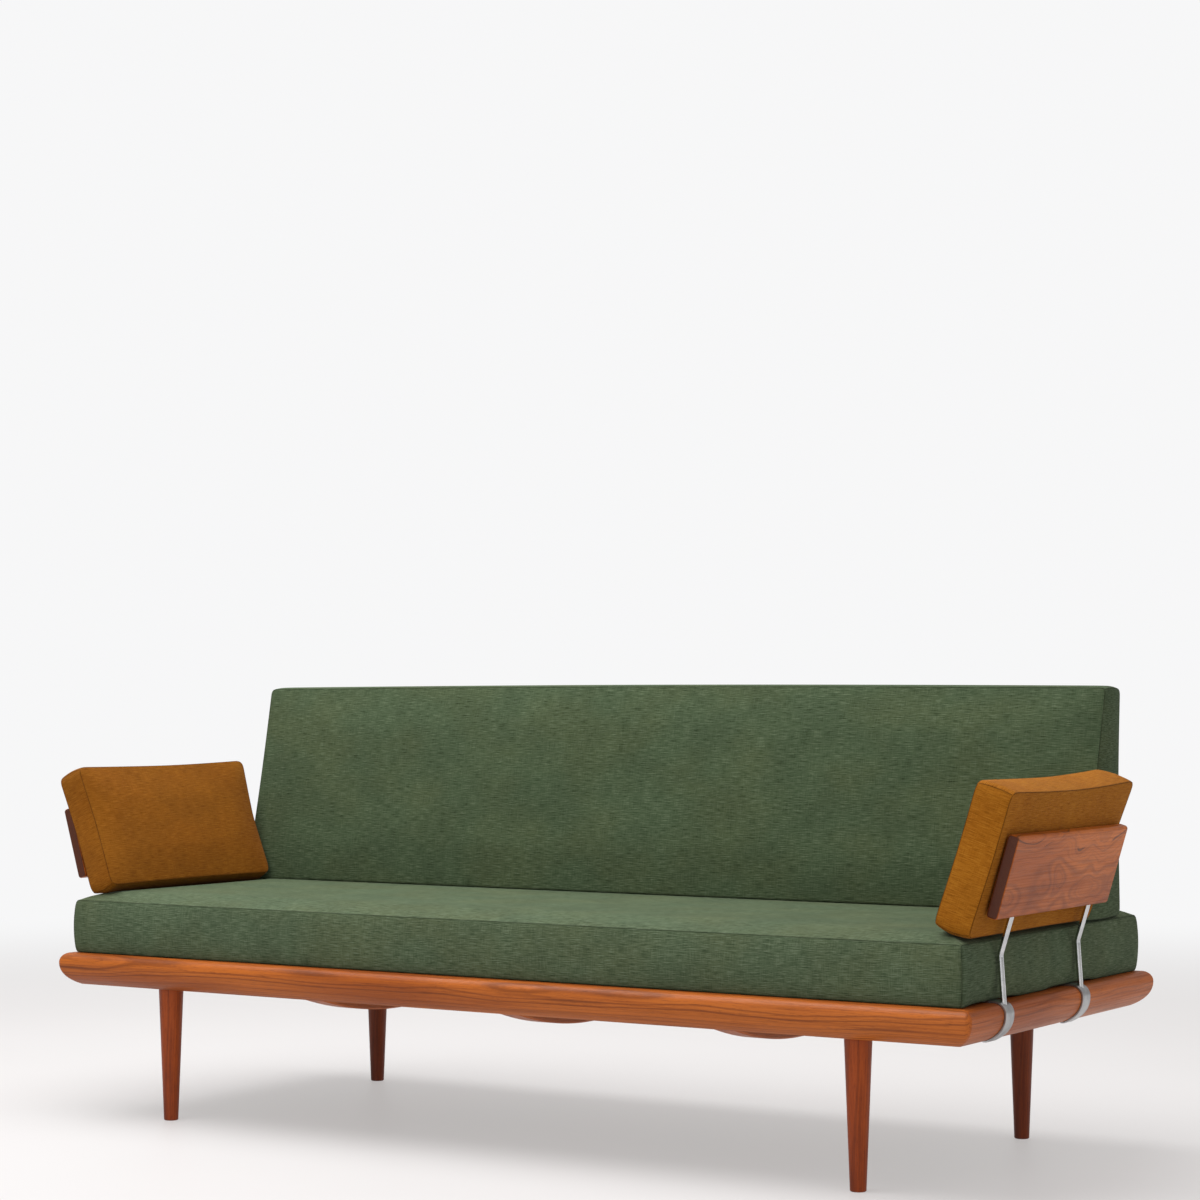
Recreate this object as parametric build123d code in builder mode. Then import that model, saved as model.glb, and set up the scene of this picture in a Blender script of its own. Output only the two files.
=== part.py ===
from build123d import *
import os
from math import asin, cos, radians, sin, tan

# Daybed: mitred teak frame on four turned legs, spring base, mattress, wedge back cushion,
# two arm cushions, and boards on clip-on steel rods at both ends and along the back.
# Millimetres. +X is the sitter's left (long way), +Y the rear, +Z up, floor at z = 0.
os.makedirs("parts", exist_ok=True)

# Frame
FRAME_LENGTH = 1950
FRAME_DEPTH = 800
RAIL_BOTTOM = 255
RAIL_HEIGHT = 62
RAIL_WIDTH = 49
RAIL_WIDEST = 43  # height of the widest point above the rail's bottom
BOTTOM_INSET = 33  # how far the hull shape pulls in at the bottom
TOP_INSET = 20  # how far the top edge is rounded over
HULL_RISE = 23.6  # degrees at which the hull shape leaves the bottom
HULL_LOW_PULLS = (17.5, 23)  # curve handles below the widest point
HULL_HIGH_PULL = 11  # curve handles above it
HULL_LOW_RADIUS = 45
HULL_HIGH_RADIUS = 20
CORNER_RADIUS = 9
RAIL_TOP = RAIL_BOTTOM + RAIL_HEIGHT
INNER_X = FRAME_LENGTH / 2 - RAIL_WIDTH
INNER_Y = FRAME_DEPTH / 2 - RAIL_WIDTH

# Legs
LEG_X = 742
LEG_Y = 332
LEG_TOP_RADIUS = 23.75
LEG_FOOT_RADIUS = 13.75
FOOT_CHAMFER = 1.5
BLOCK_LENGTH = 90
BLOCK_DEPTH = 64
BLOCK_HEIGHT = 44
BLOCK_ROUND = 8
BOLT_RADIUS = 4
BOLT_IN_LEG = 32
BOLT_IN_BLOCK = 34
SCREW_RADIUS = 2.25
SCREW_HEAD_RADIUS = 4.5
SCREW_HEAD_DEPTH = 3
SCREW_IN_RAIL = 18
SCREW_SUNK = 0.5  # how far each head lies below the block's face
SCREW_SPACING = 60
FIT = 0.05  # radial clearance of every pin, bolt and rod in its hole

# Bowed cross stretchers
STRETCHER_X = (-464, -14, 436)
STRETCHER_NAMES = ("left", "middle", "right")
STRETCHER_WIDTH = 46
STRETCHER_THICKNESS = 22
STRETCHER_LOW = 203.4  # lowest point of the underside
STRETCHER_BOW = 860  # radius of the underside in the middle
STRETCHER_BEND_HALF = 222  # half the length that is bent; the rest runs straight to the rails
STRETCHER_BEVEL = 3
DOWEL_RADIUS = 4
DOWEL_IN_RAIL = 16
DOWEL_IN_STRETCHER = 14
DOWEL_SPACING = 24

# Seat springs
SPRING_COUNT = 14
SPRING_PITCH = 133.8
SPRING_RADIUS = 6
SPRING_HALF = 306  # half the length of the wound part
SPRING_CHAMFER = 2
SPRING_Z = RAIL_TOP - SPRING_RADIUS - 0.3
HOOK_RADIUS = 1.3
HOOK_IN_RAIL = 10

# Clip-on supports: felt lining and steel strip around the rail's outline
CLIP_GAP = 0.2
FELT_THICKNESS = 0.6
STRIP_THICKNESS = 2.4
CLIP_OUTER = CLIP_GAP + FELT_THICKNESS + STRIP_THICKNESS
CLIP_WIDTH = 33
CLIP_HOOK = 12  # how far the strip turns down the rail's inner face
CLIP_LIP = 6  # how far the strip turns in under the rail
CLIP_OPENING = (40, 80)  # wider and taller than the space inside the hook
ROD_RADIUS = 5
ROD_BEND = 22
ROD_IN_BOARD = 45
ROD_BASE = (967, RAIL_TOP - 9)  # where the rod leaves the strip, as (x, z)
BOARD_THICKNESS = 20
BOARD_HEIGHT = 141
BOARD_ROUND = 6
BOARD_END_ROUND = 3

# Arm ends
ARM_TILT = 16.5
ARM_BOARD_LENGTH = 466
ARM_ROD_SPACING = 322
ARM_BOARD_FOOT = (980, 459.5)  # middle of the board's lower edge, as (x, z)
ARM_ROD_KNEE = (960.5, 395.6)  # where the rod turns outward, as (x, z)
ARM_CENTRE_Y = {"right": -98, "left": -90}
ARM_CLIP_SHIFT = 8  # the rods stand a little behind the middle of the board

# Back boards
BACK_BOARD_LENGTH = 620
BACK_CENTRE_X = 3.5 * SPRING_PITCH
BACK_ROD_SPACING = 3 * SPRING_PITCH
BACK_BOARD_Z = 545
BACK_ROD_KNEE = (385.5, 440)  # where the rod turns towards the cushion, as (y, z)
BACK_ROD_NECK = 515  # height where the rod turns upright again

# Cushions
SOFT_GAP = 0.3
MATTRESS_HALF_X = 948
MATTRESS_HALF_Y = 375
MATTRESS_BOTTOM = RAIL_TOP + CLIP_OUTER + SOFT_GAP
MATTRESS_SEAM = 416.5
MATTRESS_TOP = 435.5
CROWN_TAPER = 60
BACK_HALF_X = 949
BACK_REAR_Y = 300
BACK_TOP_Y = 233
BACK_FOOT_Y = 144
BACK_BOTTOM = MATTRESS_TOP + SOFT_GAP
BACK_TOP = 836
BACK_BOARD_GAP = 0.6
ARM_CUSHION = (69, 245, 498)  # thickness, height, length
ARM_CUSHION_TILT = {"right": 17.5, "left": 22.7}
ARM_CUSHION_FOOT = {"right": (957.5, 430), "left": (939.5, 427)}  # outer lower edge, as (x, z)
ARM_CUSHION_CENTRE_Y = {"right": -107, "left": -106}
SOFT_ROUND = 12
SOFT_EDGE = 8


def save(piece, name):
    """Label one finished solid and write it as its own file."""
    piece.part.label = name
    export_step(piece.part, f"parts/{name}.step")


def rail_profile(grow=0.0):
    """Hull-shaped section: x outward from the inner face, y up from the rail's bottom.

    With grow, the same outline moved outward by that much, for what wraps the rail.
    """
    foot = Vector(RAIL_WIDTH - BOTTOM_INSET, 0)
    rise = Vector(cos(radians(HULL_RISE)), sin(radians(HULL_RISE)))
    start = foot + Vector(rise.Y, -rise.X) * grow
    widest = Vector(RAIL_WIDTH + grow, RAIL_WIDEST)
    shoulder = Vector(RAIL_WIDTH - TOP_INSET, RAIL_HEIGHT + grow)
    foot_pull, side_pull = (pull * (1 + grow / HULL_LOW_RADIUS) for pull in HULL_LOW_PULLS)
    high_pull = HULL_HIGH_PULL * (1 + grow / HULL_HIGH_RADIUS)
    with BuildSketch() as profile:
        with BuildLine():
            Line((-grow, -grow), (foot.X, -grow))
            if grow:
                CenterArc(foot, grow, -90, HULL_RISE)
            Bezier(start, start + rise * foot_pull, widest - Vector(0, side_pull), widest)
            Bezier(widest, widest + Vector(0, high_pull), shoulder + Vector(high_pull, 0), shoulder)
            Line(shoulder, (0, RAIL_HEIGHT + grow))
            if grow:
                CenterArc((0, RAIL_HEIGHT), grow, 90, 90)
            Line((-grow, RAIL_HEIGHT), (-grow, -grow))
        make_face()
    return profile.sketch


def section_plane(outward, along=0.0):
    """Plane across one rail: local x points outward from its inner face, local y up."""
    inner = INNER_X if outward.X else INNER_Y
    run = Vector(0, along, 0) if outward.X else Vector(along, 0, 0)
    origin = outward * inner + run + Vector(0, 0, RAIL_BOTTOM)
    return Plane(origin=origin, x_dir=outward, z_dir=outward.cross(Vector(0, 0, 1)))


# Frame: four rails drawn as one mitred ring so that the corners round over together
SIDES = {
    "front_rail": Vector(0, -1, 0),
    "rear_rail": Vector(0, 1, 0),
    "right_end_rail": Vector(1, 0, 0),
    "left_end_rail": Vector(-1, 0, 0),
}


def mitre_planes(outward):
    """The two upright 45 degree planes at a rail's ends, facing the rail's middle."""
    planes = []
    for end in (-1, 1):
        side = Vector(0, end, 0) if outward.X else Vector(end, 0, 0)
        corner = outward * (FRAME_LENGTH / 2 if outward.X else FRAME_DEPTH / 2)
        corner += side * (FRAME_DEPTH / 2 if outward.X else FRAME_LENGTH / 2)
        planes.append(Plane(origin=corner, z_dir=outward - side))
    return planes


def rail_blank(outward):
    """One side of the frame with its ends mitred and its corner edges still sharp."""
    with BuildPart() as blank:
        with BuildSketch(section_plane(outward)):
            add(rail_profile())
        extrude(amount=FRAME_DEPTH / 2 if outward.X else FRAME_LENGTH / 2, both=True)
        for plane in mitre_planes(outward):
            split(bisect_by=plane, keep=Keep.TOP)
    return blank.part


rail_blanks = [rail_blank(outward) for outward in SIDES.values()]

with BuildPart() as frame_ring:
    add(rail_blanks)
    outer_corners = frame_ring.edges().filter_by(
        lambda edge: edge.center().Z < RAIL_TOP - 1
        and edge.center().Z > RAIL_BOTTOM + 1
        and abs(edge.center().X) > INNER_X + 1
        and abs(edge.center().Y) > INNER_Y + 1
    )
    fillet(outer_corners, CORNER_RADIUS)

spring_x = [(index - (SPRING_COUNT - 1) / 2) * SPRING_PITCH for index in range(SPRING_COUNT)]
screw_x = [side * LEG_X + step for side in (-1, 1) for step in (-SCREW_SPACING / 2, SCREW_SPACING / 2)]
dowel_x = [x + step for x in STRETCHER_X for step in (-DOWEL_SPACING / 2, DOWEL_SPACING / 2)]
screw_z = RAIL_BOTTOM + BLOCK_HEIGHT / 2
stretcher_centre_z = STRETCHER_LOW + STRETCHER_BOW
stretcher_slope = asin(STRETCHER_BEND_HALF / STRETCHER_BOW)


def stretcher_end_z(radius):
    """Height at which the straight part of a line at that radius meets the rails."""
    bend_y, bend_z = radius * sin(stretcher_slope), stretcher_centre_z - radius * cos(stretcher_slope)
    return bend_z + (INNER_Y - bend_y) * tan(stretcher_slope)


dowel_z = stretcher_end_z(STRETCHER_BOW - STRETCHER_THICKNESS / 2)


def drill(x_values, z, radius, depth, outward):
    """Blind holes into a long rail's inner face."""
    for x in x_values:
        face = Plane(origin=outward * INNER_Y + Vector(x, 0, z), x_dir=(1, 0, 0), z_dir=outward)
        with BuildSketch(face) as hole:
            Circle(radius)
        extrude(hole.sketch, amount=depth, mode=Mode.SUBTRACT)


for name, outward in SIDES.items():
    with BuildPart() as rail:
        add(frame_ring.part)
        split(bisect_by=Plane(origin=(0, 0, 0), z_dir=outward), keep=Keep.TOP)
        for plane in mitre_planes(outward):
            split(bisect_by=plane, keep=Keep.TOP)
        if outward.Y:
            drill(spring_x, SPRING_Z, HOOK_RADIUS + FIT, HOOK_IN_RAIL + 2, outward)
            drill(screw_x, screw_z, SCREW_RADIUS + FIT, SCREW_IN_RAIL + 1, outward)
            drill(dowel_x, dowel_z, DOWEL_RADIUS + FIT, DOWEL_IN_RAIL + 1, outward)
    save(rail, name)


# Cross stretchers: straight from each rail, bent in the middle so that they dip below the rails
def bow_line(radius):
    """One long side of a stretcher, from rail to rail: straight, bent, straight."""
    bend_y, bend_z = radius * sin(stretcher_slope), stretcher_centre_z - radius * cos(stretcher_slope)
    end_z = stretcher_end_z(radius)
    Line((-INNER_Y, end_z), (-bend_y, bend_z))
    ThreePointArc((-bend_y, bend_z), (0, stretcher_centre_z - radius), (bend_y, bend_z))
    Line((bend_y, bend_z), (INNER_Y, end_z))
    return end_z


for name, x in zip(STRETCHER_NAMES, STRETCHER_X):
    with BuildPart() as stretcher:
        with BuildSketch(Plane.YZ.offset(x)):
            with BuildLine() as outline:
                under_z = bow_line(STRETCHER_BOW)
                over_z = bow_line(STRETCHER_BOW - STRETCHER_THICKNESS)
                Line((-INNER_Y, under_z), (-INNER_Y, over_z))
                Line((INNER_Y, under_z), (INNER_Y, over_z))
            make_face()
        extrude(amount=STRETCHER_WIDTH / 2, both=True)
        long_edges = stretcher.edges().filter_by(
            lambda edge: abs(edge.center().X - x) > STRETCHER_WIDTH / 2 - 1
            and abs(edge.center().Y) < INNER_Y - 1
        )
        chamfer(long_edges, STRETCHER_BEVEL)
        for side in (-1, 1):
            for step in (-DOWEL_SPACING / 2, DOWEL_SPACING / 2):
                end = Plane(origin=(x + step, side * INNER_Y, dowel_z), z_dir=(0, -side, 0))
                with BuildSketch(end):
                    Circle(DOWEL_RADIUS + FIT)
                extrude(amount=DOWEL_IN_STRETCHER + 1, mode=Mode.SUBTRACT)
    save(stretcher, f"cross_stretcher_{name}")

with BuildPart() as stretcher_dowels:
    for side in (-1, 1):
        for x in dowel_x:
            start = side * (INNER_Y - DOWEL_IN_STRETCHER)
            with BuildSketch(Plane(origin=(x, start, dowel_z), z_dir=(0, side, 0))):
                Circle(DOWEL_RADIUS)
            extrude(amount=DOWEL_IN_STRETCHER + DOWEL_IN_RAIL)
save(stretcher_dowels, "stretcher_dowels")

# Legs, the blocks that take their bolts, and the block screws
CORNERS = {
    "front_left": (-1, -1),
    "front_right": (1, -1),
    "rear_left": (-1, 1),
    "rear_right": (1, 1),
}

for name, (side_x, side_y) in CORNERS.items():
    centre = (side_x * LEG_X, side_y * LEG_Y)
    with BuildPart() as leg:
        with BuildSketch(Plane.XY):
            with Locations(centre):
                Circle(LEG_FOOT_RADIUS)
        with BuildSketch(Plane.XY.offset(RAIL_BOTTOM)):
            with Locations(centre):
                Circle(LEG_TOP_RADIUS)
        loft()
        chamfer(leg.edges().group_by(Axis.Z)[0], FOOT_CHAMFER)
        with BuildSketch(Plane.XY.offset(RAIL_BOTTOM)):
            with Locations(centre):
                Circle(BOLT_RADIUS + FIT)
        extrude(amount=-(BOLT_IN_LEG + 2), mode=Mode.SUBTRACT)
    save(leg, f"leg_{name}")

    with BuildPart() as block:
        block_y = side_y * (INNER_Y - BLOCK_DEPTH / 2)
        with BuildSketch(Plane.XY.offset(RAIL_BOTTOM)):
            with Locations((side_x * LEG_X, block_y)):
                Rectangle(BLOCK_LENGTH, BLOCK_DEPTH)
            with Locations(centre):
                Circle(BOLT_RADIUS + FIT, mode=Mode.SUBTRACT)
        extrude(amount=BLOCK_HEIGHT)
        inner_edges = block.edges().filter_by(Axis.Z).sort_by(Axis.Y, reverse=side_y > 0)
        fillet(inner_edges[-2:], BLOCK_ROUND)
        for step in (-SCREW_SPACING / 2, SCREW_SPACING / 2):
            face = Plane(
                origin=(side_x * LEG_X + step, side_y * (INNER_Y - BLOCK_DEPTH), screw_z),
                z_dir=(0, side_y, 0),
            )
            with BuildSketch(face):
                Circle(SCREW_HEAD_RADIUS + FIT)
            extrude(amount=SCREW_HEAD_DEPTH, mode=Mode.SUBTRACT)
            with BuildSketch(face):
                Circle(SCREW_RADIUS + FIT)
            extrude(amount=BLOCK_DEPTH, mode=Mode.SUBTRACT)
    save(block, f"leg_block_{name}")

with BuildPart() as leg_bolts:
    for side_x, side_y in CORNERS.values():
        with BuildSketch(Plane.XY.offset(RAIL_BOTTOM - BOLT_IN_LEG)):
            with Locations((side_x * LEG_X, side_y * LEG_Y)):
                Circle(BOLT_RADIUS)
        extrude(amount=BOLT_IN_LEG + BOLT_IN_BLOCK)
save(leg_bolts, "leg_bolts")

with BuildPart() as block_screws:
    for side_y in (-1, 1):
        for x in screw_x:
            start = side_y * (INNER_Y - BLOCK_DEPTH + SCREW_SUNK)
            face = Plane(origin=(x, start, screw_z), z_dir=(0, side_y, 0))
            with BuildSketch(face):
                Circle(SCREW_HEAD_RADIUS)
            extrude(amount=SCREW_HEAD_DEPTH - SCREW_SUNK)
            with BuildSketch(face):
                Circle(SCREW_RADIUS)
            extrude(amount=BLOCK_DEPTH - SCREW_SUNK + SCREW_IN_RAIL)
save(block_screws, "block_screws")

# Seat springs: a close-wound body with a straight hook wire into each long rail
for index, x in enumerate(spring_x):
    with BuildPart() as spring:
        with BuildSketch(Plane(origin=(x, 0, SPRING_Z), z_dir=(0, 1, 0))):
            Circle(SPRING_RADIUS)
        extrude(amount=SPRING_HALF, both=True)
        chamfer(spring.edges().filter_by(GeomType.CIRCLE), SPRING_CHAMFER)
        with BuildSketch(Plane(origin=(x, 0, SPRING_Z), z_dir=(0, 1, 0))):
            Circle(HOOK_RADIUS)
        extrude(amount=INNER_Y + HOOK_IN_RAIL, both=True)
    save(spring, f"seat_spring_{index + 1:02d}")


# Clip-on supports
def clip_band(inner, outer, plane):
    """A ring around the rail's outline between two offsets, open on the frame's inside."""
    with BuildSketch(plane) as band:
        add(rail_profile(outer))
        add(rail_profile(inner), mode=Mode.SUBTRACT)
        corner = (RAIL_WIDTH - BOTTOM_INSET - CLIP_LIP, RAIL_HEIGHT - CLIP_HOOK)
        with Locations(corner):
            Rectangle(*CLIP_OPENING, align=(Align.MAX, Align.MAX), mode=Mode.SUBTRACT)
    return band.sketch


def rod_solid(plane, points, radius):
    """A round rod along a bent path in one section plane."""
    with BuildPart() as rod:
        with BuildLine(plane) as route:
            FilletPolyline(*points, radius=ROD_BEND)
        with BuildSketch(Plane(origin=route.line @ 0, z_dir=route.line % 0)):
            Circle(radius)
        sweep(path=route.line)
    return rod.part


def clip_support(name, outward, clips, rod_points, board_foot, board_tilt, board_centre, board_length):
    """A teak board on two bent rods, each rod on a felt-lined clip around one rail."""
    rod_ways = []
    for index, along in enumerate(clips):
        plane = section_plane(outward, along)
        strip = clip_band(CLIP_GAP + FELT_THICKNESS, CLIP_OUTER, plane)
        with BuildPart() as clip:
            extrude(strip, amount=CLIP_WIDTH / 2, both=True)
        save(clip, f"{name}_clip_{index + 1}")

        with BuildPart() as clip_blank:
            with BuildSketch(plane):
                add(rail_profile(CLIP_OUTER))
            extrude(amount=CLIP_WIDTH / 2, both=True)
        full_rod = rod_solid(plane, rod_points, ROD_RADIUS)
        with BuildPart() as rod:
            add(full_rod)
            add(clip_blank.part, mode=Mode.SUBTRACT)
        save(rod, f"{name}_rod_{index + 1}")
        rod_ways.append(rod_solid(plane, rod_points, ROD_RADIUS + FIT))

    linings = [clip_band(CLIP_GAP, CLIP_GAP + FELT_THICKNESS, section_plane(outward, along)) for along in clips]
    with BuildPart() as felt:
        for lining in linings:
            extrude(lining, amount=CLIP_WIDTH / 2, both=True)
    save(felt, f"{name}_felt")

    with BuildPart() as board:
        with BuildSketch(section_plane(outward, board_centre)):
            with Locations(Location(board_foot, -board_tilt)):
                with Locations((0, BOARD_HEIGHT / 2)):
                    RectangleRounded(BOARD_THICKNESS, BOARD_HEIGHT, BOARD_ROUND)
        extrude(amount=board_length / 2, both=True)
        ends = board.faces().filter_by(Axis.Y if outward.X else Axis.X)
        fillet(ends.edges(), BOARD_END_ROUND)
        for way in rod_ways:
            add(way, mode=Mode.SUBTRACT)
    save(board, f"{name}_board")


def in_section(across, z, inner):
    """A point's place in a section plane, from its distance off the centre and its height."""
    return (across - inner, z - RAIL_BOTTOM)


rod_base = in_section(*ROD_BASE, INNER_X)
arm_board_foot = in_section(*ARM_BOARD_FOOT, INNER_X)
arm_rod_knee = in_section(*ARM_ROD_KNEE, INNER_X)
arm_rise = Vector(*arm_board_foot) - Vector(*arm_rod_knee)
arm_rod_end = Vector(*arm_board_foot) + arm_rise.normalized() * ROD_IN_BOARD
arm_rod_points = (rod_base, arm_rod_knee, (arm_rod_end.X, arm_rod_end.Y))

for name, side in (("right", 1), ("left", -1)):
    centre = ARM_CENTRE_Y[name]
    clips = [centre + ARM_CLIP_SHIFT + step for step in (-ARM_ROD_SPACING / 2, ARM_ROD_SPACING / 2)]
    clip_support(
        f"{name}_arm",
        Vector(side, 0, 0),
        clips,
        arm_rod_points,
        arm_board_foot,
        ARM_TILT,
        centre,
        ARM_BOARD_LENGTH,
    )

back_board_middle = BACK_REAR_Y + BACK_BOARD_GAP + BOARD_THICKNESS / 2
back_board_foot = in_section(back_board_middle, BACK_BOARD_Z, INNER_Y)
back_rod_points = (
    rod_base,
    in_section(*BACK_ROD_KNEE, INNER_Y),
    in_section(back_board_middle, BACK_ROD_NECK, INNER_Y),
    (back_board_foot[0], back_board_foot[1] + ROD_IN_BOARD),
)

for name, side in (("back_right", 1), ("back_left", -1)):
    centre = side * BACK_CENTRE_X
    clips = [centre + step for step in (-BACK_ROD_SPACING / 2, BACK_ROD_SPACING / 2)]
    clip_support(
        name,
        Vector(0, 1, 0),
        clips,
        back_rod_points,
        back_board_foot,
        0,
        centre,
        BACK_BOARD_LENGTH,
    )

# Mattress: boxed border with a crowned top
with BuildPart() as mattress:
    with BuildSketch(Plane.XY.offset(MATTRESS_BOTTOM)):
        RectangleRounded(2 * MATTRESS_HALF_X, 2 * MATTRESS_HALF_Y, SOFT_ROUND)
    extrude(amount=MATTRESS_SEAM - MATTRESS_BOTTOM)
    top_face = mattress.faces().sort_by(Axis.Z)[-1]
    extrude(top_face, amount=MATTRESS_TOP - MATTRESS_SEAM, taper=CROWN_TAPER)
save(mattress, "mattress")

# Back cushion: upright rear face, front face leaning back
with BuildPart() as back_cushion:
    with BuildSketch(Plane.YZ.offset(-BACK_HALF_X)):
        with BuildLine():
            Polyline(
                (BACK_REAR_Y, BACK_BOTTOM),
                (BACK_FOOT_Y, BACK_BOTTOM),
                (BACK_TOP_Y, BACK_TOP),
                (BACK_REAR_Y, BACK_TOP),
                close=True,
            )
        make_face()
    extrude(amount=2 * BACK_HALF_X)
    fillet(back_cushion.edges(), SOFT_EDGE)
save(back_cushion, "back_cushion")

# Arm cushions: boxed blocks that stand on the mattress and lean on the arm boards
thickness, height, length = ARM_CUSHION

for name, side in (("right", 1), ("left", -1)):
    foot = in_section(*ARM_CUSHION_FOOT[name], INNER_X)
    with BuildPart() as arm_cushion:
        with BuildSketch(section_plane(Vector(side, 0, 0), ARM_CUSHION_CENTRE_Y[name])):
            with Locations(Location(foot, -ARM_CUSHION_TILT[name])):
                with Locations((-thickness / 2, height / 2)):
                    RectangleRounded(thickness, height, SOFT_ROUND)
        extrude(amount=length / 2, both=True)
        fillet(arm_cushion.faces().filter_by(Axis.Y).edges(), SOFT_EDGE)
    save(arm_cushion, f"{name}_arm_cushion")
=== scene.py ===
import math

import bpy
import numpy as np
from mathutils import Euler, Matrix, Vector


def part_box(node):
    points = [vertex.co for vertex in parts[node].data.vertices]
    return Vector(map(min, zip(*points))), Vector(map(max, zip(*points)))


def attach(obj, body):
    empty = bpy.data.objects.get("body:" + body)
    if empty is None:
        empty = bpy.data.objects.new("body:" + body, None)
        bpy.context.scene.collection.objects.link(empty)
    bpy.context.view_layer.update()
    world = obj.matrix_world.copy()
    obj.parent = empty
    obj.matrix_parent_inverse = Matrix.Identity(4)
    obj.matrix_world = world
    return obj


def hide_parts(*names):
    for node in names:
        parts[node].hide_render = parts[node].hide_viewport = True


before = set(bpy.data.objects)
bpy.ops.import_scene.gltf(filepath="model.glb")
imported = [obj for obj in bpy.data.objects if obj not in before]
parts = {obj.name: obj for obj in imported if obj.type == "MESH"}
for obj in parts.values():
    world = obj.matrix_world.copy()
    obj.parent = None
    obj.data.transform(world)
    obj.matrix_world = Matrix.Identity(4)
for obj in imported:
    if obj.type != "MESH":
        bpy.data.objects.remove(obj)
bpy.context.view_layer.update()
print("daybed frame loaded:", len(parts), "parts")

viewpoint = {
    "place": (2.868, -4.502, 0.815),
    "turn": 32.19,  # degrees to the left of straight ahead
    "lens": 84.65,
    "shift": (-0.00217, 0.0816),
}
cameraData = bpy.data.cameras.new("daybedCamera")
cameraData.sensor_width = 36
cameraData.lens = viewpoint["lens"]
cameraData.shift_x, cameraData.shift_y = viewpoint["shift"]
camera = bpy.data.objects.new("daybedCamera", cameraData)
camera.location = viewpoint["place"]
camera.rotation_euler = (math.radians(90), 0, math.radians(viewpoint["turn"]))
bpy.context.scene.collection.objects.link(camera)
bpy.context.scene.camera = camera


# node helpers: inputs maps a socket's name or number to a value or to the socket that feeds it
def put(tree, kind, inputs=None, **settings):
    node = tree.nodes.new(kind)
    for key, value in settings.items():
        setattr(node, key, value)
    for key, value in (inputs or {}).items():
        if isinstance(value, bpy.types.NodeSocket):
            tree.links.new(value, node.inputs[key])
        else:
            node.inputs[key].default_value = value
    return node


# one step of arithmetic on a and b
def calc(tree, operation, a, b=0.0, clamp=False):
    return put(tree, "ShaderNodeMath", {0: a, 1: b}, operation=operation, use_clamp=clamp).outputs[0]


# colour a turned towards colour b by amount, or mixed with it in another way
def blendColour(tree, amount, a, b, how="MIX"):
    node = put(tree, "ShaderNodeMix", data_type="RGBA", blend_type=how)
    for key, value in {0: amount, 6: a, 7: b}.items():
        if isinstance(value, bpy.types.NodeSocket):
            tree.links.new(value, node.inputs[key])
        else:
            node.inputs[key].default_value = value
    return node.outputs[2]


# a times b
def multiply(tree, a, b):
    return calc(tree, "MULTIPLY", a, b)


# low to high becomes toLow to toHigh, easing at both ends
def remap(tree, value, low, high, toLow=0.0, toHigh=1.0):
    keys = {"Value": value, "From Min": low, "From Max": high, "To Min": toLow, "To Max": toHigh}
    return put(tree, "ShaderNodeMapRange", keys, interpolation_type="SMOOTHSTEP").outputs[0]


# noise whose grain is drawn out: place times across, direction by direction
def stretched(tree, place, across, detail=2.0, roughness=0.5):
    longer = put(tree, "ShaderNodeVectorMath", {0: place, 1: across}, operation="MULTIPLY").outputs[0]
    keys = {"Vector": longer, "Scale": 1.0, "Detail": detail, "Roughness": roughness}
    return put(tree, "ShaderNodeTexNoise", keys).outputs[0]


# noise of one number, such as a distance
def alongLine(tree, distance, detail, roughness=0.5):
    keys = {"W": distance, "Scale": 1.0, "Detail": detail, "Roughness": roughness}
    return put(tree, "ShaderNodeTexNoise", keys, noise_dimensions="1D").outputs[0]


# an empty node group with its inputs, their defaults and its outputs
def newGroup(name, inputs, outputs):
    group = bpy.data.node_groups.new(name, "ShaderNodeTree")
    for label, kind, value in inputs:
        socket = group.interface.new_socket(label, in_out="INPUT", socket_type=kind)
        if value is not None:
            socket.default_value = value
    for label, kind in outputs:
        group.interface.new_socket(label, in_out="OUTPUT", socket_type=kind)
    return group, group.nodes.new("NodeGroupInput").outputs, group.nodes.new("NodeGroupOutput").inputs


colourSocket, valueSocket, vectorSocket = "NodeSocketColor", "NodeSocketFloat", "NodeSocketVector"


teak = {
    "pale": (0.49, 0.125, 0.0175, 1),
    "mid": (0.31, 0.067, 0.0085, 1),
    "dark": (0.105, 0.020, 0.0045, 1),
    "coat": 0.02,  # how far a gloss coat shows
    "cutDark": (0.052, 0.012, 0.005, 1),  # ends cut across the grain
    "cutPale": (0.085, 0.022, 0.008, 1),
    "veinColour": (0.028, 0.010, 0.006, 1),
    "bump": (0.35, 0.0004),
    "wander": (2.2, 7.0, 7.0),  # from here on, noises: changes in a metre along and across the grain
    "eddy": (8.0, 13.0, 13.0),
    "fibre": (5.0, 420.0, 420.0),
    "fleck": (38.0, 1500.0, 1500.0),
    "cloud": (1.6, 11.0, 11.0),
    "broken": (5.0, 60.0, 60.0),
    "streak": (4.0, 120.0, 120.0),
}


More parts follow.
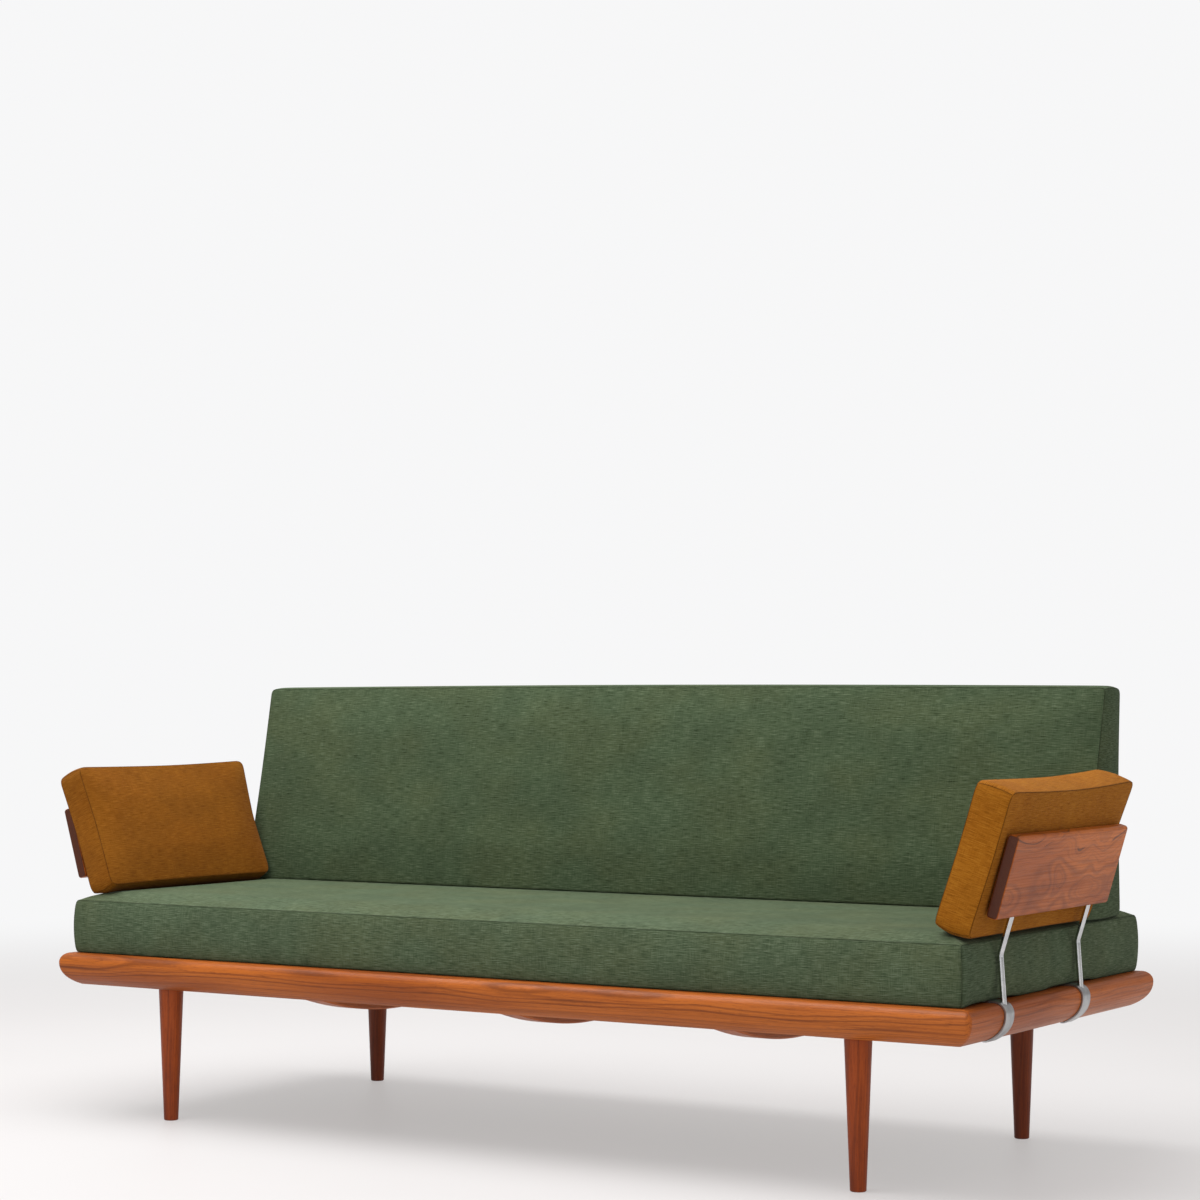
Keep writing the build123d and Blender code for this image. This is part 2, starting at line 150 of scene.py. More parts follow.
# teak: rings are noise of the distance to the tree's middle line, which runs along x and wanders;
# fibres, pores and veins are noise drawn out along x
def makeTeakGroup():
    group, given, result = newGroup(
        "teakGrain",
        [
            ("Place", vectorSocket, None),
            ("Pale", colourSocket, (0.45, 0.16, 0.05, 1)),
            ("Mid", colourSocket, (0.30, 0.09, 0.027, 1)),
            ("Dark", colourSocket, (0.10, 0.03, 0.012, 1)),
            ("Rings", valueSocket, 150.0),
            ("Lean", valueSocket, 0.06),
            ("Figure", valueSocket, 0.6),
            ("Veins", valueSocket, 0.4),
            ("Swirl", valueSocket, 0.0),
            ("EndGrain", valueSocket, 0.0),
        ],
        [("Color", colourSocket), ("Roughness", valueSocket), ("Height", valueSocket)],
    )
    split = put(group, "ShaderNodeSeparateXYZ", {0: given["Place"]}).outputs
    wander = stretched(group, given["Place"], teak["wander"], 2.0)
    wander = multiply(group, calc(group, "SUBTRACT", wander, 0.5), 0.035)
    eddy = calc(group, "SUBTRACT", stretched(group, given["Place"], teak["eddy"], 1.0), 0.5)
    wander = calc(group, "ADD", wander, multiply(group, multiply(group, eddy, 0.06), given["Swirl"]))
    leaning = multiply(group, split[0], given["Lean"])
    across = calc(group, "ADD", split[1], leaning)
    squares = calc(group, "ADD", calc(group, "POWER", across, 2.0), calc(group, "POWER", split[2], 2.0))
    reach = calc(group, "ADD", calc(group, "SQRT", squares), wander)
    turns = multiply(group, reach, given["Rings"])
    rings = alongLine(group, turns, 3.0, 0.6)
    fibre = stretched(group, given["Place"], teak["fibre"], 3.0, 0.6)
    fleck = stretched(group, given["Place"], teak["fleck"], 1.0)
    cloud = stretched(group, given["Place"], teak["cloud"], 2.0)
    late = remap(group, rings, 0.42, 0.70)
    tone = blendColour(group, remap(group, cloud, 0.32, 0.68, 0.0, 0.95), given["Mid"], given["Pale"])
    tone = blendColour(group, multiply(group, late, given["Figure"]), tone, given["Dark"])
    tone = blendColour(group, remap(group, fibre, 0.3, 0.75, 0.0, 0.22), tone, given["Mid"], "MULTIPLY")
    tone = blendColour(group, remap(group, fibre, 0.5, 0.8, 0.0, 0.3), tone, given["Dark"])
    line = alongLine(group, multiply(group, reach, 34.0), 1.0)
    line = remap(group, calc(group, "ABSOLUTE", calc(group, "SUBTRACT", line, 0.55)), 0.0, 0.035, 1.0, 0.0)
    broken = remap(group, stretched(group, given["Place"], teak["broken"], 2.0), 0.42, 0.62)
    vein = multiply(group, multiply(group, line, broken), given["Veins"])
    tone = blendColour(group, vein, tone, teak["veinColour"])
    pores = remap(group, fleck, 0.60, 0.72)
    tone = blendColour(group, multiply(group, pores, 0.6), tone, given["Dark"])
    streak = remap(group, stretched(group, given["Place"], teak["streak"], 2.0), 0.56, 0.74)
    tone = blendColour(group, multiply(group, streak, 0.38), tone, given["Dark"])
    ends = blendColour(group, remap(group, fleck, 0.4, 0.7), teak["cutDark"], teak["cutPale"])
    tone = blendColour(group, multiply(group, given["EndGrain"], 0.95), tone, ends)
    group.links.new(tone, result["Color"])
    group.links.new(remap(group, fibre, 0.25, 0.8, 0.34, 0.52), result["Roughness"])
    height = calc(group, "ADD", multiply(group, fibre, 0.6), multiply(group, pores, -0.5))
    group.links.new(calc(group, "ADD", height, multiply(group, late, 0.15)), result["Height"])
    return group


weave = {  # changes in a metre along and across the cloth
    "slub": (42.0, 620.0, 1.0),
    "broad": (14.0, 300.0, 1.0),
    "warp": (560.0, 36.0, 1.0),
    "patch": (10.0, 12.0, 1.0),
    "hue": (6.0, 8.0, 3.0),
}


# cloth: two sets of threads crossing, each with long uneven slubs, over slow patches of colour
def makeClothGroup():
    group, given, result = newGroup(
        "slubbedCloth",
        [
            ("Place", vectorSocket, None),
            ("Ground", colourSocket, (0.12, 0.15, 0.09, 1)),
            ("Slub", colourSocket, (0.20, 0.23, 0.15, 1)),
            ("Shade", colourSocket, (0.06, 0.08, 0.045, 1)),
            ("Warm", colourSocket, (0.16, 0.15, 0.08, 1)),
            ("Thread", valueSocket, 0.0013),
            # how strongly the painted seam shade darkens the cloth
            ("Seam", valueSocket, 0.0),
        ],
        [("Color", colourSocket), ("Roughness", valueSocket), ("Height", valueSocket)],
    )
    split = put(group, "ShaderNodeSeparateXYZ", {0: given["Place"]}).outputs
    slub = stretched(group, given["Place"], weave["slub"], 3.0, 0.7)
    broad = stretched(group, given["Place"], weave["broad"], 2.0)
    warp = stretched(group, given["Place"], weave["warp"], 2.0, 0.6)
    patch = stretched(group, given["Place"], weave["patch"], 3.0, 0.5)
    hue = stretched(group, given["Place"], weave["hue"], 2.0, 0.5)
    tone = blendColour(group, remap(group, hue, 0.35, 0.7, 0.0, 0.55), given["Ground"], given["Warm"])
    tone = blendColour(group, remap(group, slub, 0.5, 0.68, 0.0, 0.95), tone, given["Slub"])
    tone = blendColour(group, remap(group, slub, 0.5, 0.32, 0.0, 0.95), tone, given["Shade"])
    tone = blendColour(group, remap(group, broad, 0.6, 0.8, 0.0, 0.4), tone, given["Slub"])
    tone = blendColour(group, remap(group, warp, 0.52, 0.74, 0.0, 0.32), tone, given["Slub"])
    tone = blendColour(group, remap(group, warp, 0.48, 0.26, 0.0, 0.34), tone, given["Shade"])
    tone = blendColour(group, remap(group, patch, 0.35, 0.65, 0.0, 0.16), tone, (1, 1, 1, 1), "SOFT_LIGHT")
    # painted shade along the seams: the cloth turns towards Shade where the seam mask is 1
    tone = blendColour(group, multiply(group, given["Seam"], 0.22), tone, given["Shade"], "MULTIPLY")
    group.links.new(tone, result["Color"])
    group.links.new(remap(group, slub, 0.3, 0.7, 0.95, 0.78), result["Roughness"])
    waves = []
    for axis in (0, 1):
        threads = calc(group, "DIVIDE", split[axis], given["Thread"])
        waves.append(calc(group, "SINE", multiply(group, threads, math.pi)))
    over = calc(group, "GREATER_THAN", multiply(group, waves[0], waves[1]), 0.0)
    lift = [calc(group, "ABSOLUTE", wave) for wave in waves]
    under = calc(group, "SUBTRACT", 1.0, over)
    thread = calc(group, "ADD", multiply(group, lift[0], over), multiply(group, lift[1], under))
    height = calc(group, "ADD", multiply(group, thread, 0.4), multiply(group, slub, 0.9))
    group.links.new(calc(group, "ADD", height, multiply(group, warp, 0.4)), result["Height"])
    return group


drawn = {"lines": (60.0, 2400.0, 2400.0), "patch": (40.0, 55.0, 55.0)}  # changes in a metre


# metal: fine drawn lines along one direction and slow duller patches
def makeMetalGroup():
    group, given, result = newGroup(
        "drawnMetal",
        [
            ("Place", vectorSocket, None),
            ("Bright", colourSocket, (0.7, 0.7, 0.7, 1)),
            ("Dull", colourSocket, (0.5, 0.5, 0.5, 1)),
            ("Smooth", valueSocket, 0.1),
            ("Rough", valueSocket, 0.3),
        ],
        [("Color", colourSocket), ("Roughness", valueSocket), ("Height", valueSocket)],
    )
    lines = stretched(group, given["Place"], drawn["lines"], 2.0)
    patch = stretched(group, given["Place"], drawn["patch"], 3.0, 0.6)
    colour = blendColour(group, remap(group, patch, 0.35, 0.7), given["Bright"], given["Dull"])
    group.links.new(colour, result["Color"])
    spread = calc(group, "ADD", multiply(group, patch, 0.6), multiply(group, lines, 0.4))
    keys = {"Value": spread, "From Min": 0.3, "From Max": 0.7}
    keys.update({"To Min": given["Smooth"], "To Max": given["Rough"]})
    rough = put(group, "ShaderNodeMapRange", keys)
    group.links.new(rough.outputs[0], result["Roughness"])
    group.links.new(lines, result["Height"])
    return group


teakGroup, clothGroup, metalGroup = makeTeakGroup(), makeClothGroup(), makeMetalGroup()
print("node groups made")


# one finish: its coordinates through the group into one shader; bump is (strength, distance)
def newFinish(name, group, inputs, place, bump, shader):
    finish = bpy.data.materials.new(name)
    finish.use_nodes = True
    tree = finish.node_tree
    tree.nodes.clear()
    source = put(tree, "ShaderNodeTexCoord").outputs[place.get("from", "Object")]
    keys = {0: source, "Location": place.get("shift", (0, 0, 0)), "Rotation": place.get("turn", (0, 0, 0))}
    mapped = put(tree, "ShaderNodeMapping", keys).outputs[0]
    grain = put(tree, "ShaderNodeGroup", node_tree=group)
    tree.links.new(mapped, grain.inputs["Place"])
    for key, value in inputs.items():
        grain.inputs[key].default_value = value
    if "grain" in place:  # faces cut across the grain, by how far the surface turns along it
        normal = put(tree, "ShaderNodeTexCoord").outputs["Normal"]
        facing = put(tree, "ShaderNodeSeparateXYZ", {0: normal}).outputs["xyz".index(place["grain"])]
        tree.links.new(remap(tree, calc(tree, "ABSOLUTE", facing), 0.6, 0.9), grain.inputs["EndGrain"])
    # the painted seam shade, read from each mesh's seam mask
    if "Seam" in grain.inputs:
        seam = put(tree, "ShaderNodeAttribute", attribute_name="seamPaintedShade")
        tree.links.new(seam.outputs["Fac"], grain.inputs["Seam"])
    keys = {"Strength": bump[0], "Distance": bump[1], "Height": grain.outputs["Height"]}
    relief = put(tree, "ShaderNodeBump", keys)
    surface = put(tree, "ShaderNodeBsdfPrincipled", shader)
    tree.links.new(grain.outputs["Color"], surface.inputs["Base Color"])
    tree.links.new(grain.outputs["Roughness"], surface.inputs["Roughness"])
    tree.links.new(relief.outputs[0], surface.inputs["Normal"])
    put(tree, "ShaderNodeOutputMaterial", {"Surface": surface.outputs[0]})
    return finish


grainTurns = {"x": (0, 0, 0), "y": (0, 0, math.radians(-90)), "z": (0, math.radians(90), 0)}


# one finish on every slot of the named parts
def paint(finish, *names):
    for name in names:
        for spot in parts[name].material_slots:
            spot.material = finish


# half way between the corners of a part's box
def middle(name):
    low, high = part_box(name)
    return (low + high) / 2


# one finish for one part: the tree's middle line, heart away from the part's own middle, is moved to
# the origin and the grain turned along x; tint multiplies the three colours
def teakPart(name, look):
    turn = Euler(grainTurns[look["grain"]])
    shift = -(turn.to_matrix() @ (middle(name) + Vector(look["heart"])))
    inputs = {"Rings": look["rings"], "Lean": look["lean"], "Figure": look["figure"]}
    inputs.update({"Veins": look["veins"], "Swirl": look.get("swirl", 0.0)})
    for shade in ("pale", "mid", "dark"):
        colour = np.array(teak[shade][:3]) * look["tint"]
        inputs[shade.title()] = tuple(float(c) for c in colour) + (1,)
    shader = {"Coat Weight": teak["coat"], "Coat Roughness": 0.2, "Specular IOR Level": 0.2}
    place = {"grain": look["grain"], "turn": tuple(turn), "shift": tuple(shift)}
    paint(newFinish("teak." + name, teakGroup, inputs, place, teak["bump"], shader), name)


longRail = {"grain": "x", "rings": 230, "figure": 0.56, "veins": 0.25, "tint": (1.02, 1.07, 0.96)}
endRail = {"grain": "y", "rings": 230, "lean": 0.012, "figure": 0.4, "veins": 0.25, "tint": (1.05, 1.08, 1.0)}
stretcher = {"grain": "y", "heart": (0.03, 0, -0.09), "rings": 170, "lean": 0.03, "figure": 0.35}
# their tint is lighter than the rails': painted light for the light from the floor that falls on their undersides
stretcher.update({"veins": 0.15, "tint": (1.2, 1.15, 1.1)})
leg = {"grain": "z", "heart": (0.05, 0.04, 0), "rings": 180, "lean": 0.012, "figure": 0.35, "veins": 0.0}
block = {"grain": "x", "heart": (0, 0.02, -0.08), "rings": 150, "lean": 0.05, "figure": 0.4}
block.update({"veins": 0.0, "tint": (0.85, 0.75, 0.7)})
board = {"rings": 80, "lean": 0.04, "figure": 0.42, "tint": (1.2, 1.26, 0.9)}
# the rear legs are tinted darker than the front ones: painted shade for the shadow they stand in
legTintsRearShaded = {"front": (0.75, 0.54, 0.42), "rear": (0.44, 0.30, 0.235)}
boardHeart = {"left": (0.085, 0, 0), "right": (-0.085, 0, 0)}  # on the seat's side of each arm board

teakPart("front_rail", {**longRail, "heart": (0, 0.07, -0.05), "lean": 0.008})
teakPart("rear_rail", {**longRail, "heart": (0, -0.06, -0.07), "lean": 0.01})
teakPart("right_end_rail", {**endRail, "heart": (-0.06, 0, -0.06)})
teakPart("left_end_rail", {**endRail, "heart": (0.05, 0, -0.08)})
for side in ("left", "middle", "right"):
    teakPart("cross_stretcher_" + side, stretcher)
for row in ("front", "rear"):
    for side in ("left", "right"):
        teakPart(f"leg_{row}_{side}", {**leg, "tint": legTintsRearShaded[row]})
        teakPart(f"leg_block_{row}_{side}", block)
for side in ("left", "right"):
    armLook = {**board, "grain": "y", "heart": boardHeart[side], "veins": 0.75, "swirl": 1.4}
    teakPart(side + "_arm_board", armLook)
    backLook = {**board, "grain": "x", "heart": (0, -0.09, 0), "veins": 0.6, "swirl": 1.0}
    teakPart("back_" + side + "_board", backLook)

beech = {
    "Pale": (0.62, 0.42, 0.25, 1),
    "Mid": (0.52, 0.32, 0.17, 1),
    "Dark": (0.36, 0.19, 0.09, 1),
    "Rings": 160.0,
    "Lean": 0.02,
    "Figure": 0.3,
    "Veins": 0.0,
}
beechFinish = newFinish("beechDowel", teakGroup, beech, {"turn": grainTurns["y"]}, (0.3, 0.0003), {})
paint(beechFinish, "stretcher_dowels")

metals = {
    "rod": {"Bright": (0.66, 0.66, 0.66, 1), "Dull": (0.50, 0.51, 0.52, 1), "Smooth": 0.08, "Rough": 0.18},
    "clip": {"Bright": (0.46, 0.46, 0.46, 1), "Dull": (0.34, 0.34, 0.35, 1), "Smooth": 0.26, "Rough": 0.42},
    "wire": {"Bright": (0.56, 0.56, 0.57, 1), "Dull": (0.34, 0.34, 0.35, 1), "Smooth": 0.22, "Rough": 0.42},
    "fixing": {"Bright": (0.66, 0.66, 0.62, 1), "Dull": (0.46, 0.46, 0.43, 1), "Smooth": 0.25, "Rough": 0.45},
}


# one metal with its drawn lines turned along grain
def metalFinish(name, metal, grain, strength):
    place = {"turn": grainTurns[grain]}
    return newFinish(name, metalGroup, metals[metal], place, (strength, 0.0001), {"Metallic": 1.0})


rodFinish = metalFinish("polishedRod", "rod", "z", 0.04)
clipFinish = metalFinish("satinClip", "clip", "z", 0.08)
wireFinish = metalFinish("springWire", "wire", "y", 0.06)
fixingFinish = metalFinish("platedFixing", "fixing", "x", 0.06)
# the felt linings are near black: painted shade for the shadow line along each clip's edge and the gap under its
# lip
felt = {
    "Ground": (0.035, 0.035, 0.036, 1),
    "Slub": (0.075, 0.075, 0.075, 1),
    "Shade": (0.015, 0.015, 0.015, 1),
    "Warm": (0.045, 0.042, 0.04, 1),
    "Thread": 0.0009,
}
feltShadeFinish = newFinish("feltLiningPaintedShade", clothGroup, felt, {}, (0.5, 0.0004), {"Sheen Weight": 0.4})
supports = ("left_arm", "right_arm", "back_left", "back_right")
for support in supports:
    paint(rodFinish, support + "_rod_1", support + "_rod_2")
    paint(clipFinish, support + "_clip_1", support + "_clip_2")
    paint(feltShadeFinish, support + "_felt")
paint(fixingFinish, "leg_bolts", "block_screws")
print("timber and metal finished")

greenCloth = {
    "Ground": (0.062, 0.088, 0.046, 1),
    "Slub": (0.116, 0.146, 0.086, 1),
    "Shade": (0.026, 0.040, 0.019, 1),
    "Warm": (0.078, 0.092, 0.042, 1),
}
ochreCloth = {
    "Ground": (0.245, 0.086, 0.0070, 1),
    "Slub": (0.315, 0.122, 0.013, 1),
    "Shade": (0.150, 0.046, 0.0035, 1),
    "Warm": (0.235, 0.074, 0.005, 1),
}
clothBump, threadBump = (0.55, 0.0006), (0.5, 0.0004)  # strength and distance
clothShader = {"Sheen Weight": 0.03, "Sheen Roughness": 0.4, "Specular IOR Level": 0.06}


# each cover's cloth colours times its own fade factor, which is painted light and shade: lighter on the right arm
# cushion, darker on the back and left arm cushions
def coverFinish(name, cloth, fade):
    colours = {key: tuple(c * f for c, f in zip(colour, fade)) + (1,) for key, colour in cloth.items()}
    return newFinish("cover." + name, clothGroup, colours, {"from": "UV"}, clothBump, clothShader)


# fade factors: painted light on the right arm cushion, painted shade on the back and left arm cushions
covers = {
    "mattress": coverFinish("mattress", greenCloth, (1.03, 1.03, 1.08)),
    "back_cushion": coverFinish("back_cushion", greenCloth, (0.82, 0.85, 0.84)),
    "right_arm_cushion": coverFinish("right_arm_cushion", ochreCloth, (1.14, 1.14, 0.95)),
    "left_arm_cushion": coverFinish("left_arm_cushion", ochreCloth, (0.84, 0.82, 0.76)),
}


# seam threads are the cloth's own colours, darker: painted shade for the dark gap along each seam
def seamFinish(name, cloth, seamShadeDim):
    colours = {key: tuple(c * seamShadeDim for c in colour[:3]) + (1,) for key, colour in cloth.items()}
    return newFinish(name, clothGroup, colours, {}, threadBump, clothShader)


# both dimmed as painted seam shade
greenSeam = seamFinish("greenSeam", greenCloth, 0.45)
ochreSeam = seamFinish("ochreSeam", ochreCloth, 0.4)


# points and quads made into a smooth piece that rides its body; corners are its UVs, quad by quad
def newPiece(name, points, quads, body, finish, corners=None):
    mesh = bpy.data.meshes.new(name)
    mesh.from_pydata(points.tolist(), [], quads.tolist())
    if corners is not None:
        layer = mesh.uv_layers.new(name="UVMap")
        layer.data.foreach_set("uv", corners.astype(np.float32).ravel())
    mesh.polygons.foreach_set("use_smooth", np.ones(len(quads), bool))
    mesh.materials.append(finish)
    mesh.update()
    piece = bpy.data.objects.new(name, mesh)
    bpy.context.scene.collection.objects.link(piece)
    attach(piece, body)
    return piece


# every point of a mesh, one row each
def readPoints(mesh):
    flat = np.zeros(len(mesh.vertices) * 3, np.float32)
    mesh.vertices.foreach_get("co", flat)
    return flat.reshape(-1, 3).astype(float)


# every point's normal, one row each
def readNormals(mesh):
    flat = np.zeros(len(mesh.vertices) * 3, np.float32)
    mesh.vertex_normals.foreach_get("vector", flat)
    return flat.reshape(-1, 3).astype(float)


touch = 1e-6  # a point nearer than this to a face of its box lies on it


# lines from 0 to length: close together by both ends, then evenly about step apart
def gradedLines(length, step, close=(0.0, 0.004, 0.010, 0.018)):
    count = max(3, round((length - 2 * close[-1]) / step) + 1)
    even = np.linspace(close[-1], length - close[-1], count)
    return np.concatenate([close[:-1], even, length - np.array(close[:-1])[::-1]])


# the outer skin of a box of lines: its points, its quads turned to face outwards, their UVs, the twelve edges and
# which points lie on them
def boxSkin(xLines, yLines, zLines, lengthwise):
    sizes = [len(xLines), len(yLines), len(zLines)]
    i, j, k = np.meshgrid(*[np.arange(n) for n in sizes], indexing="ij")
    ends = [(a == 0) | (a == n - 1) for a, n in zip((i, j, k), sizes)]
    skin = ends[0] | ends[1] | ends[2]
    number = np.full(i.shape, -1)
    number[skin] = np.arange(skin.sum())
    points = np.stack([xLines[i[skin]], yLines[j[skin]], zLines[k[skin]]], 1)
    quads, corners, sides = [], [], []
    for axis in range(3):
        for end in (0, -1):
            grid = np.take(number, end, axis=axis)
            quad = np.stack([grid[:-1, :-1], grid[1:, :-1], grid[1:, 1:], grid[:-1, 1:]], -1).reshape(-1, 4)
            if (axis == 1) == (end == -1):  # turned so that it faces outwards
                quad = quad[:, ::-1]
            others = [a for a in range(3) if a != axis]
            if lengthwise[axis] == others[1]:
                others = others[::-1]
            apart = np.array([1.7 * axis + 0.9 * end, 0.37 * axis - 0.53 * end])  # so that no two faces match
            corner = points[quad][:, :, others] + apart
            quads.append(quad)
            corners.append(corner.reshape(-1, 2))
            sides.append(np.full(len(quad), axis * 2 - end))
    edges = []
    for axis in range(3):
        for a in (0, -1):
            for b in (0, -1):
                keys = [a, b]
                keys.insert(axis, slice(None))
                edges.append(number[tuple(keys)])
    onEdge = np.zeros(len(points))
    for edge in edges:
        onEdge[edge] = 1.0
    return points, np.concatenate(quads), np.concatenate(corners), edges, onEdge


# 0 at the edge, rising steeply and levelling off to 1 at width
def shoulder(distance, width, power=2.3):
    return 1 - (1 - np.clip(distance / width, 0, 1)) ** power


# slow uneven waves: a sum of six sines with seeded directions, phases and lengths near size, about
# as high as height
def slowWaves(a, b, wave, other=0):
    chance = np.random.default_rng(wave["seed"] + other)
    total = np.zeros_like(a)
    turns, phases = chance.uniform(0, math.pi, 6), chance.uniform(0, 2 * math.pi, 6)
    for turn, phase, stretch in zip(turns, phases, chance.uniform(0.7, 1.5, 6)):
        total += np.sin((a * math.cos(turn) + b * math.sin(turn)) * 2 * math.pi / (wave["size"] * stretch) + phase)
    return wave["height"] * (total / 3.2)


# a square outline's corners become quarter ellipses of the given radius
def roundCorners(a, b, halfA, halfB, radius):
    p = np.clip((np.abs(a) - (halfA - radius)) / radius, 0, 1)
    q = np.clip((np.abs(b) - (halfB - radius)) / radius, 0, 1)
    newA = np.where(p > 0, halfA - radius + radius * p * np.sqrt(1 - q * q / 2), np.abs(a))
    newB = np.where(q > 0, halfB - radius + radius * q * np.sqrt(1 - p * p / 2), np.abs(b))
    return np.sign(a) * newA, np.sign(b) * newB


# how every cover is filled; each adds its own stiffness and the cap on how far a point moves
filling = {"quality": 5, "mass": 0.3, "pressure": 4, "tension": 15, "shear": 0.4, "frames": 20}


# cloth under pressure with its seams held, each point's motion capped, then one subdivision
def plump(piece, held, settle, limit):
    rest = readPoints(piece.data)
    group = piece.vertex_groups.new(name="sewn")
    for weight in np.unique(held):
        if weight > 0:
            group.add(np.flatnonzero(held == weight).tolist(), float(weight), "REPLACE")
    cloth = piece.modifiers.new("stuffing", "CLOTH")
    cloth.settings.quality = settle["quality"]
    cloth.settings.mass = settle["mass"]
    cloth.settings.use_pressure = True
    cloth.settings.uniform_pressure_force = settle["pressure"]
    cloth.settings.tension_stiffness = settle["tension"]
    cloth.settings.compression_stiffness = settle["tension"]
    cloth.settings.shear_stiffness = settle["tension"] * settle["shear"]
    cloth.settings.bending_stiffness = settle["bending"]
    cloth.settings.vertex_group_mass = "sewn"
    cloth.settings.effector_weights.gravity = 0
    cloth.collision_settings.use_collision = False
    cloth.point_cache.frame_start, cloth.point_cache.frame_end = 1, settle["frames"]
    scene = bpy.context.scene
    for step in range(1, settle["frames"] + 1):
        scene.frame_set(step)
    graph = bpy.context.evaluated_depsgraph_get()
    moved = readPoints(piece.evaluated_get(graph).data)
    piece.modifiers.clear()
    piece.vertex_groups.clear()
    scene.frame_set(1)
    shift = moved - rest
    far = np.linalg.norm(shift, axis=1)
    print("  ", piece.name, "moved up to", round(float(far.max()) * 1000, 1), "mm")
    shift *= (np.minimum(far, settle["cap"]) / np.maximum(far, 1e-9))[:, None]
    rest = rest + shift
    piece.data.vertices.foreach_set("co", limit(rest).astype(np.float32).ravel())
    piece.data.update()
    smooth = piece.modifiers.new("smooth", "SUBSURF")
    smooth.levels = smooth.render_levels = 1
    graph = bpy.context.evaluated_depsgraph_get()
    mesh = bpy.data.meshes.new_from_object(piece.evaluated_get(graph), depsgraph=graph)
    piece.modifiers.clear()
    piece.data = mesh
    return piece


# a round thread carried along each path: rings turned to the path, closed at both ends by a point
def sewnLine(paths, normals, radius, sink, around=6):
    points, quads, start = [], [], 0
    angle = np.arange(around) * 2 * math.pi / around
    for path, normal in zip(paths, normals):
        run = np.gradient(path, axis=0)
        run /= np.linalg.norm(run, axis=1)[:, None]
        side = np.cross(run, normal)
        side /= np.linalg.norm(side, axis=1)[:, None]
        up = np.cross(side, run)
        width = np.full(len(path), radius)
        width[[0, -1]] = radius * 0.02
        ring = side[:, None] * np.cos(angle)[None, :, None] + up[:, None] * np.sin(angle)[None, :, None]
        points.append((path[:, None] - up[:, None] * sink + ring * width[:, None, None]).reshape(-1, 3))
        grid = start + np.arange(len(path) * around).reshape(len(path), around)
        turned = np.roll(grid, -1, axis=1)
        quads.append(np.stack([grid[:-1], grid[1:], turned[1:], turned[:-1]], -1).reshape(-1, 4))
        start += len(path) * around
    return np.concatenate(points), np.concatenate(quads)


# 1 along the sewn edges and 0 elsewhere: painted seam shade, which darkens the cloth beside them as the shade in
#                                         each seam's groove
def markPaintedSeamShade(mesh, onEdge):
    layer = mesh.attributes.new("seamPaintedShade", "FLOAT", "POINT")
    layer.data.foreach_set("value", onEdge.astype(np.float32))


# a round thread along every sewn edge, sunk into the cloth by sink
def addSeams(piece, edges, body, finish, radius=0.0007, sink=0.0003):
    points, normals = readPoints(piece.data), readNormals(piece.data)
    seamPoints, seamQuads = sewnLine([points[e] for e in edges], [normals[e] for e in edges], radius, sink)
    return newPiece(piece.name + "_seams", seamPoints, seamQuads, body, finish)


_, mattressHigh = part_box("mattress")
mattress = {
    "step": 0.0125,
    "bottom": 0.3176,
    "seam": 0.4190,
    "edgeCrown": 0.0110,  # quick rise beside the seam
    "edgeWidth": 0.030,
    "crown": 0.005,  # slow rise towards the middle
    "crownWidth": 0.20,
    "bulge": 0.006,
    "waist": 0.002,  # how far the sides pull in between the corners
    "corner": 0.008,
    "overClip": 0.0031,
    "clipMargin": 0.014,
    "clipEase": 0.02,
    "clipSlide": {"arm": (0, 0.055, 0), "back": (0.04, 0, 0)},
    "topWave": {"height": 0.0012, "size": 0.5, "seed": 11},
    "sideWave": {"height": 0.0008, "size": 0.23, "seed": 5},
    "calm": 0.15,  # the top's waves die away over this much beside the edges
    "proud": 0.001,  # how far the seams stand outside the box
    "settle": {**filling, "bending": 0.6, "cap": 0.005},
}


# height of the top: the seam's height, a quick shoulder beside the seam and a broad low one
def mattressTop(x, y):
    fromX, fromY = mattressHigh.x - np.abs(x), mattressHigh.y - np.abs(y)
    edge = shoulder(fromX, mattress["edgeWidth"]) * shoulder(fromY, mattress["edgeWidth"])
    broad = shoulder(fromX, mattress["crownWidth"]) * shoulder(fromY, mattress["crownWidth"])
    return mattress["seam"] + mattress["edgeCrown"] * edge + mattress["crown"] * broad


# the clips' tops, which the foam sinks round, all the way along the length that each clip slides
def clipRise(x, y):
    rise = np.zeros_like(x)
    for support in supports:
        for number in ("_clip_1", "_clip_2"):
            low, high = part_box(support + number)
            where = "back" if support.startswith("back") else "arm"
            slide = Vector(mattress["clipSlide"][where])
            slide += Vector((mattress["clipMargin"], mattress["clipMargin"], 0))
            low, high = low - slide, high + slide
            outside = np.maximum.reduce([low.x - x, x - high.x, low.y - y, y - high.y, np.zeros_like(x)])
            rise = np.maximum(rise, 1 - shoulder(outside, mattress["clipEase"], 1.6))
    return rise


